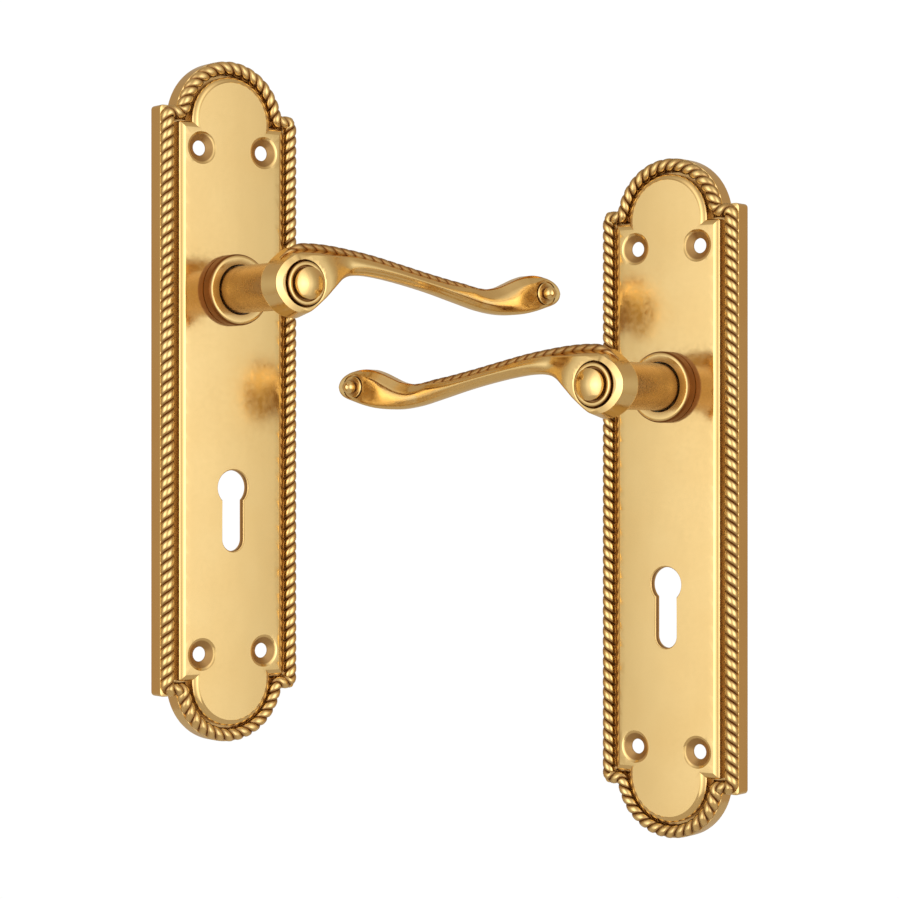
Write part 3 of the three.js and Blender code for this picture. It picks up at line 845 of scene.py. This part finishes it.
def tip_button_skin():
    t = TIP
    base, foot = TIP_FACE + GAP, TIP_FACE - 2.6
    rim = arc(t["radius"] - 0.3, base + 0.3, 0.3, 0, 90, 4)
    ball = [(t["knob"] * math.cos(a), t["ball"] + t["knob"] * math.sin(a))
            for a in np.radians(np.linspace(-45, 84, 16))]
    profile = [(0, foot), (t["stem"], foot), (t["stem"], base), (t["radius"], base), *rim,
               (ball[0][0], base + 0.6), *ball, (0, t["ball"] + t["knob"])]
    centre = (t["across"], t["rise"])
    # Painted shade: the button's rim side and its throat under the knob are darkened, the throat
    # partly for compound.
    rim_side = lambda x, y, n: (around(x, y, centre) > t["radius"] - 0.1) & (n < base + 0.4)
    throat = lambda x, y, n: (around(x, y, centre) < t["knob"]) & (n < t["ball"] - 0.9)
    return stained(lathe(profile, 64, centre), (rim_side, POLISH_AND_SHADE_BY_PLACE["button_rim"]),
                   (throat, POLISH_AND_SHADE_BY_PLACE["button_throat"]))


# ---------------------------------------------------------------- spring gear behind the panel

WIRE_ANGLE = math.degrees((SPRING["wire"] + GAP) / PIN["orbit"])
PIN_ANGLE = math.degrees((PIN["radius"] + GAP) / PIN["orbit"])
MOVING_LEG = DRIVE["angle"] - DRIVE["half_angle"] - WIRE_ANGLE
FIXED_LEG = MOVING_LEG + 360 * SPRING["turns"]
PIN_ANGLES = {
    "rest_stop_pin": DRIVE["angle"] + DRIVE["half_angle"] + PIN_ANGLE,
    "travel_stop_pin": MOVING_LEG - TRAVEL - WIRE_ANGLE - PIN_ANGLE,
    "spring_anchor_pin": FIXED_LEG - WIRE_ANGLE - PIN_ANGLE,
}


def keyed_hole(low, high):
    """A round hole with two flats, as an outline pushed through."""
    radius, flat = NECK["radius"] + GAP, NECK["flat"] + GAP
    meet = math.degrees(math.asin(flat / radius))
    outline = arc(0, 0, radius, -meet, meet, 24) + arc(0, 0, radius, 180 - meet, 180 + meet, 24)
    return prism(outline, low, high)


def drive_skin():
    d = DRIVE
    neck_angle = 3.0
    start, end = d["angle"] - d["half_angle"], d["angle"] + d["half_angle"]
    outline = arc(0, 0, d["lug"], start, end, 12)
    outline += arc(0, 0, d["radius"], end + neck_angle, 360 + start - neck_angle, 84)
    return carved(prism(outline, d["low"], d["high"]), cuts=[keyed_hole(d["low"] - 1, d["high"] + 1)])


def washer_skin():
    w = WASHER
    plain = lathe([(0, w["low"]), (w["radius"], w["low"]), (w["radius"], w["high"]), (0, w["high"])])
    return carved(plain, cuts=[keyed_hole(w["low"] - 1, w["high"] + 1)])


def clip_skin():
    c = CLIP
    start, end = c["opening"] / 2 - 90, 270 - c["opening"] / 2
    outline = arc(0, 0, c["radius"], start, end, 72) + arc(0, 0, c["inner"], end, start, 72)
    return prism(outline, c["low"], c["high"])


def pin_skin(name):
    p = PIN
    low = SPRING["front"] - 2 * SPRING["wire"] if name == "spring_anchor_pin" else DRIVE["low"]
    profile = [(0, low), (p["radius"] - 0.2, low), (p["radius"], low + 0.2),
               (p["radius"], p["front"]), (0, p["front"])]
    return lathe(profile, 40, polar(p["orbit"], PIN_ANGLES[name]))


def spring_skin():
    """The torsion spring's wire: a fixed leg, the coil, and a leg down past the drive lug."""
    s = SPRING
    steps = 72
    points = [(*polar(s["reach"], FIXED_LEG), s["front"])]
    for i in range(steps + 1):
        level = s["front"] + (s["back"] - s["front"]) * i / steps
        points.append((*polar(s["radius"], FIXED_LEG - 360 * s["turns"] * i / steps), level))
    points += [(*polar(PIN["orbit"] - s["wire"], MOVING_LEG), s["back"]),
               (*polar(PIN["orbit"], MOVING_LEG), s["back"] - s["wire"]),
               (*polar(PIN["orbit"], MOVING_LEG), DRIVE["low"])]
    path, _, _ = even_path(points, 0.5, closed=False)
    path = softened_turns(path, False, 2)
    tangents = np.gradient(path, axis=0)
    tangents /= np.linalg.norm(tangents, axis=1)[:, None]
    side = np.cross(tangents[0], (0, 0, 1))
    rings = []
    for point, tangent in zip(path, tangents):
        side = side - tangent * side.dot(tangent)
        side /= np.linalg.norm(side)
        up = np.cross(tangent, side)
        turns = np.linspace(0, 2 * math.pi, 14, endpoint=False)[:, None]
        rings.append(point + s["wire"] * (np.cos(turns) * side + np.sin(turns) * up))
    return loft(rings)


# ---------------------------------------------------------------- putting the halves together

def half_pieces():
    """A half's pieces: name, skin, body, material, slot, the node it replaces, and its edges."""
    brass_slot, pin_edges = "polished_brass", dict(bevel=0.08)
    pins = [(name.replace("_pin", "_peg"), pin_skin(name), "plates", PLATED_STEEL, "steel", name,
             pin_edges) for name in PIN_ANGLES]
    return [
        ("plate_casting", backplate_skin(), "plates", PANEL_BRASS, brass_slot, "backplate",
         dict(sharp=28)),
        ("plate_rope", plate_rope_skin(), "plates", ROPE_BRASS, brass_slot, "backplate", {}),
        ("collar", collar_skin(), "plates", TURNED_BRASS, brass_slot, "bearing_collar",
         dict(bevel=0.15)),
        ("bush", bush_skin(), "plates", NYLON, "nylon", "bearing_bush", dict(bevel=0.1)),
        *pins,
        ("handle", handle_skin(), "lever", LEVER_BRASS, brass_slot, "lever_handle", {}),
        ("handle_rope", lever_rope_skin(), "lever", ROPE_BRASS, brass_slot, "lever_handle", {}),
        ("neck", neck_skin(), "lever", TURNED_BRASS, brass_slot, "lever_neck", dict(bevel=0.08)),
        ("tip_knob", tip_button_skin(), "lever", TURNED_BRASS, brass_slot, "lever_tip_button",
         dict(bevel=0.06)),
        ("drive", drive_skin(), "lever", PLATED_STEEL, "steel", "drive_plate", dict(bevel=0.12)),
        ("washer", washer_skin(), "lever", PLATED_STEEL, "steel", "thrust_washer",
         dict(bevel=0.12)),
        ("clip", clip_skin(), "lever", SPRING_STEEL, "spring_steel", "retaining_clip",
         dict(bevel=0.12)),
    ]


def build_halves():
    pieces = half_pieces()
    for half in HALVES:
        lever = f"{half.hand}_lever"
        for name, skin, side, material, slot, replaces, edges in pieces:
            body = lever if side == "lever" else side
            add_piece(half, name, skin, body, material, slot, replaces, **edges)
        add_spring(half)


def add_spring(half):
    """The torsion spring as one still piece, taken off the plates' body and fixed where it stands."""
    spring = add_piece(half, "spring", spring_skin(), "plates", SPRING_STEEL, "spring_steel",
                       "return_spring")
    spring.parent = None
    del spring["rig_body"]
    wire = SPRING["wire"]
    start, end = half.place([(0, 0, SPRING["front"] - wire), (0, 0, SPRING["back"] + wire)])
    tuple(start)
    tuple(end)
    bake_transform(spring)


# ---------------------------------------------------------------- studio

GLOW = 2.6  # the brightest part of the surround
SURROUND = [  # degrees round from the viewer, alike on both sides, and the light from there
    (0, (0.8, 0.74, 0.64)), (14, (1.2, 1.14, 1.02)), (28, (2.1, 2.0, 1.86)), (36, (2.6, 2.5, 2.35)),
    (50, (2.2, 2.1, 1.95)), (60, (1.3, 1.26, 1.18)), (69, (1.1, 1.07, 1.03)),
    (76, (0.72, 0.68, 0.6)), (90, (0.52, 0.44, 0.33)), (104, (0.475, 0.34, 0.22)),
    (125, (0.42, 0.28, 0.18)), (155, (0.38, 0.27, 0.18)), (180, (0.55, 0.48, 0.4))]
FADE = [(0.0, 1), (0.16, 0.84), (0.45, 0.5), (0.85, 0.1), (1.0, 0)]  # towards straight up or down
OVERHEAD = (0.5, 0.41, 0.31)
BACKDROP = 1.02  # what the viewer sees behind the pair


def studio_surround():
    """A soft studio all round: a bright wall behind the viewer, warm and dimmer to the sides."""
    world = bpy.data.worlds.new("studio")
    bpy.context.scene.world = world
    world.use_nodes = True
    tree = world.node_tree
    background = tree.nodes["Background"]
    direction = tree.nodes.new("ShaderNodeSeparateXYZ")
    link(tree, tree.nodes.new("ShaderNodeTexCoord").outputs["Generated"], direction.inputs[0])
    x, y, z = direction.outputs
    sideways = math_node(tree, "ABSOLUTE", x)
    turn = math_node(tree, "ARCTAN2", sideways, math_node(tree, "MULTIPLY", y, -1.0))
    turn = math_node(tree, "DIVIDE", turn, math.pi)
    ring = ramp(tree, turn, [(degrees / 180, tuple(c / GLOW for c in colour))
                             for degrees, colour in SURROUND])
    height = math_node(tree, "ABSOLUTE", z)
    away = ramp(tree, height, [(place, (share,) * 3) for place, share in FADE])
    light = mixed(tree, away, tuple(c / GLOW for c in OVERHEAD), ring)
    seen = tree.nodes.new("ShaderNodeLightPath").outputs["Is Camera Ray"]
    plain = (BACKDROP / GLOW,) * 3
    link(tree, mixed(tree, seen, light, plain), background.inputs["Color"])
    background.inputs["Strength"].default_value = GLOW


def floor():
    """A plain pale floor well below the pair."""
    low, high = Vector(CAD_BOX[0]), Vector(CAD_BOX[1])
    drop, radius, steps = 0.34, 0.75, 96
    centre = (low + high) / 2
    points = [(centre.x + radius * math.cos(a), centre.y + radius * math.sin(a), low.z - drop)
              for a in np.linspace(0, 2 * math.pi, steps, endpoint=False)]
    obj = mesh_object("floor", points, [tuple(range(steps))])
    material, tree, shader, where = new_material("pale_floor")
    link(tree, mixed(tree, noise(tree, where, 6.0), (0.8, 0.8, 0.79), (0.84, 0.84, 0.83)),
         shader.inputs["Base Color"])
    shader.inputs["Roughness"].default_value = 0.7
    obj.data.materials.append(material)


# The viewer stands level, straight in front, as far off as the pair's perspective shows.
VIEW_DISTANCE = 0.700
VIEW_DROP = 0.032  # how far below the middle of the spindles the viewer is
SENSOR_WIDTH = 36.0
FOCAL_LENGTH = 96.10679


def camera():
    middle = sum((half.origin for half in HALVES), np.zeros(3)) / 2
    data = bpy.data.cameras.new("camera")
    data.sensor_width = SENSOR_WIDTH
    data.lens = FOCAL_LENGTH
    obj = bpy.data.objects.new("camera", data)
    obj.location = (middle[0], middle[1] - VIEW_DISTANCE, middle[2] - VIEW_DROP)
    obj.rotation_euler = (math.radians(90), 0, 0)
    bpy.context.scene.collection.objects.link(obj)
    bpy.context.scene.camera = obj


def studio():
    studio_surround()
    floor()
    camera()
    bpy.context.scene.view_settings.view_transform = "Standard"


build_halves()
studio()
